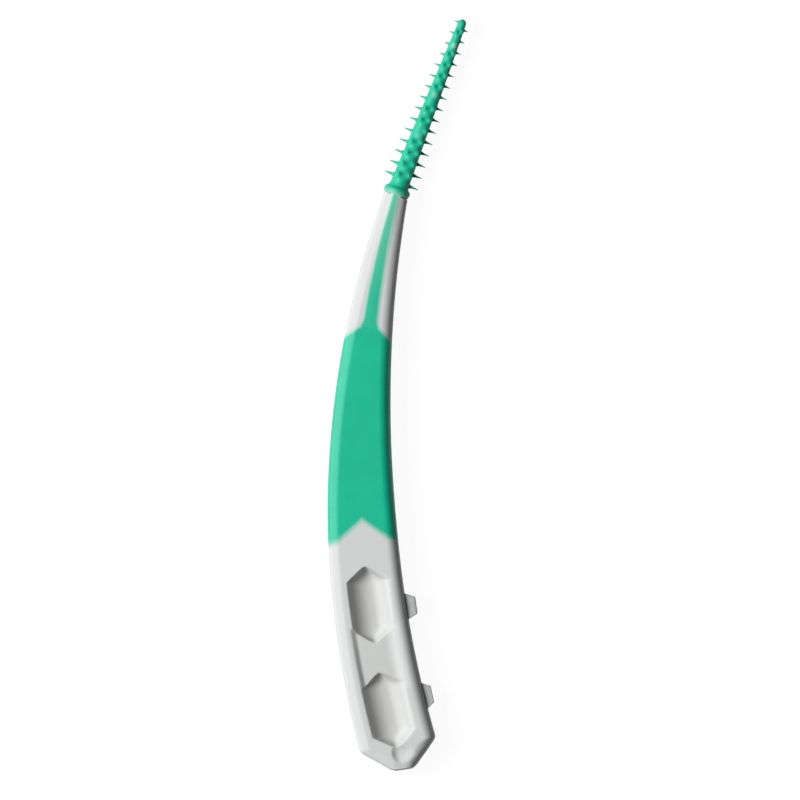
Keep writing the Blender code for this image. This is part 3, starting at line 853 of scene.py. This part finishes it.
def short_spikes():
    """The spikes that stand square to the parting plane, on both faces."""
    made = []
    for hand, front, angle, place in SHORT_FEET:
        share = place / SLEEVE_LENGTH
        radius = mix(SHORT_SPIKE_ROOT_RADIUS, SHORT_SPIKE_TOP_ROOT_RADIUS, share)
        skin = sleeve_radius(place)
        across = skin * math.sin(angle)
        level = math.sqrt(skin**2 - (across + radius) ** 2) - SHORT_SPIKE_SINK
        sink = skin * math.cos(angle) - level
        height = mix(SHORT_SPIKE_HEIGHT, SHORT_SPIKE_TOP_HEIGHT, share)
        foot = (-level if front else level, -hand * across, place)
        made.append(spike(foot, 0.0 if front else math.pi, sink, height, radius))
    return made


def all_spikes():
    right = side_row(1, SPIKE_FIRST_RIGHT)
    left = side_row(-1, SPIKE_FIRST_RIGHT + SPIKE_PITCH / 2)
    return right + left + short_spikes()


# ---- Shares that the materials read

def set_share(made, name, values):
    """Stores a share from 0 to 1 at each point, for the materials."""
    attribute = made.data.attributes.new(name, "FLOAT", "POINT")
    attribute.data.foreach_set("value", np.asarray(values, np.float32))


def points_of(made):
    flat = np.zeros(len(made.data.vertices) * 3, np.float32)
    made.data.vertices.foreach_get("co", flat)
    return flat.reshape(-1, 3).astype(float)


def places_of(made):
    """Along, across and up of each point of a piece on the handle."""
    x, y, z = points_of(made).T
    across = BEND_RADIUS - np.hypot(x, y + BEND_RADIUS)
    along = np.arctan2(x, y + BEND_RADIUS) * BEND_RADIUS
    return along, across, z - MIDDLE


def paint_hollow_shade(made):
    """Painted shade: how deep in a hollow the white is, which greys and warms its colour there.
    """
    along, across, up = places_of(made)
    drop = np.where(up > 0, face_drop(along, across, True), face_drop(along, across, False))
    set_share(made, "hollow_shade", eased(drop / HOLLOW_SHADE_FULL_DEPTH))


def strip_film(made):
    """How well the strip covers the white: less at its edges and towards the tip."""
    along, across, _ = places_of(made)
    edge = strip_half(along) + STRIP_SPREAD - np.abs(across + STRIP_FILM_SHIFT)
    cover = mix(*STRIP_COVERS, eased((along - STRIP_THIN_START) / STRIP_THIN_LENGTH))
    set_share(made, "film", eased(edge / STRIP_FILM_REACH) * cover)


def grip_film(made):
    """How well the grip covers the white: less at its two edges, but not under the strip."""
    along, across, up = places_of(made)
    low = along - GRIP_APEX - chevron(across)
    high = GRIP_TOP + shoulder(across) - along
    under_strip = (np.abs(across) < STRIP_ROOT_WIDTH / 2) & (up > 0)
    high = np.where(under_strip, 2 * GRIP_FILM_REACH, high)
    edge = np.minimum(low * CHEVRON_FILM_SHARE, high * SHOULDER_FILM_SHARE)
    set_share(made, "film", mix(*GRIP_COVERS, eased(edge / GRIP_FILM_REACH)))


def tip_film(made):
    """How well the tip covers the white, and where the pads show through it."""
    local = np.array(on_tip().inverted())
    at = points_of(made) @ local[:3, :3].T + local[:3, 3]
    cover = mix(*TIP_COVERS, eased((at[:, 2] + COLLAR_HEIGHT) / TIP_FILM_REACH))
    set_share(made, "film", cover)
    pads = np.zeros(len(at))
    for place, cover in zip(PAD_PLACES, PAD_COVERS):
        sides = np.abs(at[:, 1] + PAD_SHIFT) ** PAD_POWER + np.abs(at[:, 2] - place) ** PAD_POWER
        spot = (1 - eased((sides ** (1 / PAD_POWER) - PAD_CORE) / PAD_FADE)) * (at[:, 0] < 0)
        pads = np.maximum(pads, cover * spot)
    set_share(made, "pad", pads)


# ---- Materials

# Cloud, grain and relief are noises, as (waves in a metre, detail); relief ends with its depth
WHITE_FINISH = {
    "cloud": (260, 3),
    "shades": ((0.69, 0.712, 0.703), (0.715, 0.733, 0.725)),
    "grain": (9000, 4),
    "roughness": (0.52, 0.62),
    "relief": ((700, 2, 0.000006), (16000, 5, 0.0000012)),
    "sockets": {"Specular IOR Level": 0.3},
}
GREEN_FINISH = {
    "cloud": (420, 4),
    "shades": ((0.002, 0.53, 0.315), (0.004, 0.575, 0.345)),
    "grain": (5000, 4),
    "roughness": (0.46, 0.56),
    "relief": ((900, 2, 0.000006), (14000, 5, 0.000002)),
    "sockets": {"Specular IOR Level": 0.38, "Sheen Weight": 0.05, "Sheen Roughness": 0.4},
}
# Painted shade: a darker, warmer white for the pockets, trough and dimple
HOLLOW_SHADE_COLOUR = (0.635, 0.642, 0.624)
FILM_COLOUR = (0.64, 0.775, 0.725)
PAD_COLOUR = (0.31, 0.77, 0.6)
NOISE_SPAN = (0.3, 0.7)
FLOOR_GREY = 0.5
FLOOR_SEEN_GREY = 0.07
FLOOR_GLOW = 0.95


def shader_of(made):
    return made.node_tree.nodes["Principled BSDF"]


def new_material(name):
    made = bpy.data.materials.new(name)
    made.use_nodes = True
    return made


def node(made, kind, **settings):
    new = made.node_tree.nodes.new(kind)
    for name, value in settings.items():
        setattr(new, name, value)
    return new


def link(made, start, end):
    made.node_tree.links.new(start, end)


def noise(made, scale, detail):
    """Noise in the object's own coordinates, at so many waves in a metre."""
    place = node(made, "ShaderNodeTexCoord")
    new = node(made, "ShaderNodeTexNoise")
    new.inputs["Scale"].default_value = scale
    new.inputs["Detail"].default_value = detail
    link(made, place.outputs["Object"], new.inputs["Vector"])
    return new.outputs["Fac"]


def ranged(made, value, low, high):
    """A noise spread over a range."""
    new = node(made, "ShaderNodeMapRange")
    new.inputs["From Min"].default_value, new.inputs["From Max"].default_value = NOISE_SPAN
    new.inputs["To Min"].default_value = low
    new.inputs["To Max"].default_value = high
    link(made, value, new.inputs["Value"])
    return new.outputs["Result"]


def blended(made, share, first, second):
    """A colour between two; either may be a colour or another node's output."""
    new = node(made, "ShaderNodeMix", data_type="RGBA")
    link(made, share, new.inputs["Factor"])
    for socket, colour in (("A", first), ("B", second)):
        target = [s for s in new.inputs if s.name == socket and s.type == "RGBA"][0]
        if isinstance(colour, tuple):
            target.default_value = (*colour, 1.0)
        else:
            link(made, colour, target)
    return [s for s in new.outputs if s.type == "RGBA"][0]


def by_share(made, name, first, second):
    """A colour between two, by a share that the mesh's points hold."""
    share = node(made, "ShaderNodeAttribute", attribute_name=name)
    return blended(made, share.outputs["Fac"], first, second)


def bumped(made, layers):
    """Fine relief in layers of (noise, depth in metres)."""
    before = None
    for value, depth in layers:
        new = node(made, "ShaderNodeBump")
        new.inputs["Strength"].default_value = 1.0
        new.inputs["Distance"].default_value = depth
        link(made, value, new.inputs["Height"])
        if before is not None:
            link(made, before, new.inputs["Normal"])
        before = new.outputs["Normal"]
    link(made, before, shader_of(made).inputs["Normal"])


def moulded(name, finish):
    """A moulded material, and its cloudy colour, which isn't linked yet."""
    made = new_material(name)
    sockets = shader_of(made).inputs
    cloud = ranged(made, noise(made, *finish["cloud"]), 0.0, 1.0)
    grain = ranged(made, noise(made, *finish["grain"]), *finish["roughness"])
    link(made, grain, sockets["Roughness"])
    for socket, value in finish["sockets"].items():
        sockets[socket].default_value = value
    bumped(made, [(noise(made, *waves), depth) for *waves, depth in finish["relief"]])
    return made, blended(made, cloud, *finish["shades"])


def white_plastic():
    """White plastic, with painted shade that greys and warms it in its hollows."""
    made, white = moulded("white_plastic", WHITE_FINISH)
    colour = by_share(made, "hollow_shade", white, HOLLOW_SHADE_COLOUR)
    link(made, colour, shader_of(made).inputs["Base Color"])
    return made


def green_rubber():
    """Green rubber, paler where it is a thin film and over the pads."""
    made, green = moulded("green_rubber", GREEN_FINISH)
    covered = by_share(made, "film", FILM_COLOUR, green)
    colour = by_share(made, "pad", covered, PAD_COLOUR)
    link(made, colour, shader_of(made).inputs["Base Color"])
    return made


def matt(made, grey):
    """A plain matt shader of one grey."""
    new = node(made, "ShaderNodeBsdfDiffuse")
    new.inputs["Color"].default_value = (grey, grey, grey, 1)
    return new.outputs[0]


def floor_material():
    """A pale floor that is seen as white but for the shadow on it."""
    made = new_material("floor")
    tree = made.node_tree
    tree.nodes.remove(shader_of(made))
    path = node(made, "ShaderNodeLightPath")
    glow = node(made, "ShaderNodeEmission")
    glow.inputs["Strength"].default_value = FLOOR_GLOW
    seen = node(made, "ShaderNodeAddShader")
    link(made, matt(made, FLOOR_SEEN_GREY), seen.inputs[0])
    link(made, glow.outputs[0], seen.inputs[1])
    sees = path.outputs["Is Camera Ray"]
    for name in ("Is Glossy Ray", "Is Transmission Ray"):
        either = node(made, "ShaderNodeMath", operation="MAXIMUM")
        link(made, sees, either.inputs[0])
        link(made, path.outputs[name], either.inputs[1])
        sees = either.outputs[0]
    choice = node(made, "ShaderNodeMixShader")
    link(made, sees, choice.inputs[0])
    link(made, matt(made, FLOOR_GREY), choice.inputs[1])
    link(made, seen.outputs[0], choice.inputs[2])
    link(made, choice.outputs[0], tree.nodes["Material Output"].inputs["Surface"])
    return made


# ---- Pieces

WHITE = white_plastic()
GREEN = green_rubber()


def dress(piece, material, slot, *nodes):
    piece.data.materials.clear()
    piece.data.materials.append(material)
    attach(piece, "root")
    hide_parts(*nodes)
    return piece


tabs = [tab(place, reach) for place, reach in zip(TAB_PLACES, TAB_REACHES)]
core = tube("handle", handle_rings(), pinched=True)
handle = smooth(joined("handle_body", [core] + tabs), PLASTIC_SHARP)
# Painted shade: the white darkens by how deep each point lies in a pocket, the trough or the
# dimple
paint_hollow_shade(handle)
dress(handle, WHITE, "white_plastic", "handle_core")
dress(smooth(needle(), PLASTIC_SHARP), WHITE, "white_plastic", "handle_core")

grip = smooth(tube("grip_sleeve", grip_rings(), closed=True), RUBBER_SHARP)
grip_film(grip)
strip = smooth(tube("neck_strip", strip_rings()), STRIP_SHARP)
strip_film(strip)
sleeve = turned("sleeve", tip_profile(), mounds)
tip = smooth(joined("bristle_tip", [sleeve] + all_spikes()), RUBBER_SHARP)
tip_film(tip)
for piece in (grip, strip, tip):
    dress(piece, GREEN, "green_rubber", "rubber_overmould")


# ---- Floor, light and camera

CAMERA_PLACE = (0.00669, -0.003946)
CAMERA_HEIGHT = 1.5
CAMERA_REACH = (0.01, 20)
SENSOR_WIDTH = 36
VIEW_SIZE = 0.08
FLOOR_HALF = 3.0
# Just under the pick, whose flat back would otherwise share its plane
FLOOR_PLACE = -0.00001
KEY_LAMP = {"tilt": 44, "turn": 8, "distance": 0.6, "size": (0.25, 0.31), "strength": 1.26}
WORLD_STRENGTH = 0.02


def make_floor():
    data = bpy.data.meshes.new("floor")
    half = FLOOR_HALF
    corners = [(-half, -half), (half, -half), (half, half), (-half, half)]
    data.from_pydata([(x, y, FLOOR_PLACE) for x, y in corners], [], [(0, 1, 2, 3)])
    data.materials.append(floor_material())
    new_object("floor", data)


def lamp(name, tilt, turn, distance, size, strength):
    """A softbox. Tilt is from straight up, and turn goes from the photo's left to its top."""
    data = bpy.data.lights.new(name, "AREA")
    data.shape = "RECTANGLE"
    data.size, data.size_y = size
    data.energy = strength * math.pi * distance**2 * math.pi
    made = new_object(name, data)
    tilt, turn = math.radians(tilt), math.radians(turn)
    flat = math.sin(tilt)
    away = Vector((flat * math.sin(turn), flat * math.cos(turn), math.cos(tilt)))
    made.location = Vector((*CAMERA_PLACE, 0)) + away * distance
    made.rotation_euler = away.to_track_quat("Z", "Y").to_euler()


def make_light():
    lamp("key", **KEY_LAMP)
    world = bpy.data.worlds.new("studio")
    world.use_nodes = True
    background = world.node_tree.nodes["Background"].inputs
    background["Color"].default_value = (1, 1, 1, 1)
    background["Strength"].default_value = WORLD_STRENGTH
    bpy.context.scene.world = world


def make_camera():
    """A camera straight above, with the photo's left towards +Y."""
    data = bpy.data.cameras.new("camera")
    data.sensor_width = SENSOR_WIDTH
    data.lens = SENSOR_WIDTH * (CAMERA_HEIGHT - MIDDLE) / VIEW_SIZE
    data.clip_start, data.clip_end = CAMERA_REACH
    made = new_object("camera", data)
    made.location = (*CAMERA_PLACE, CAMERA_HEIGHT)
    made.rotation_euler = (0, 0, -math.pi / 2)
    bpy.context.scene.camera = made


make_floor()
make_light()
make_camera()
bpy.context.scene.view_settings.view_transform = "Standard"
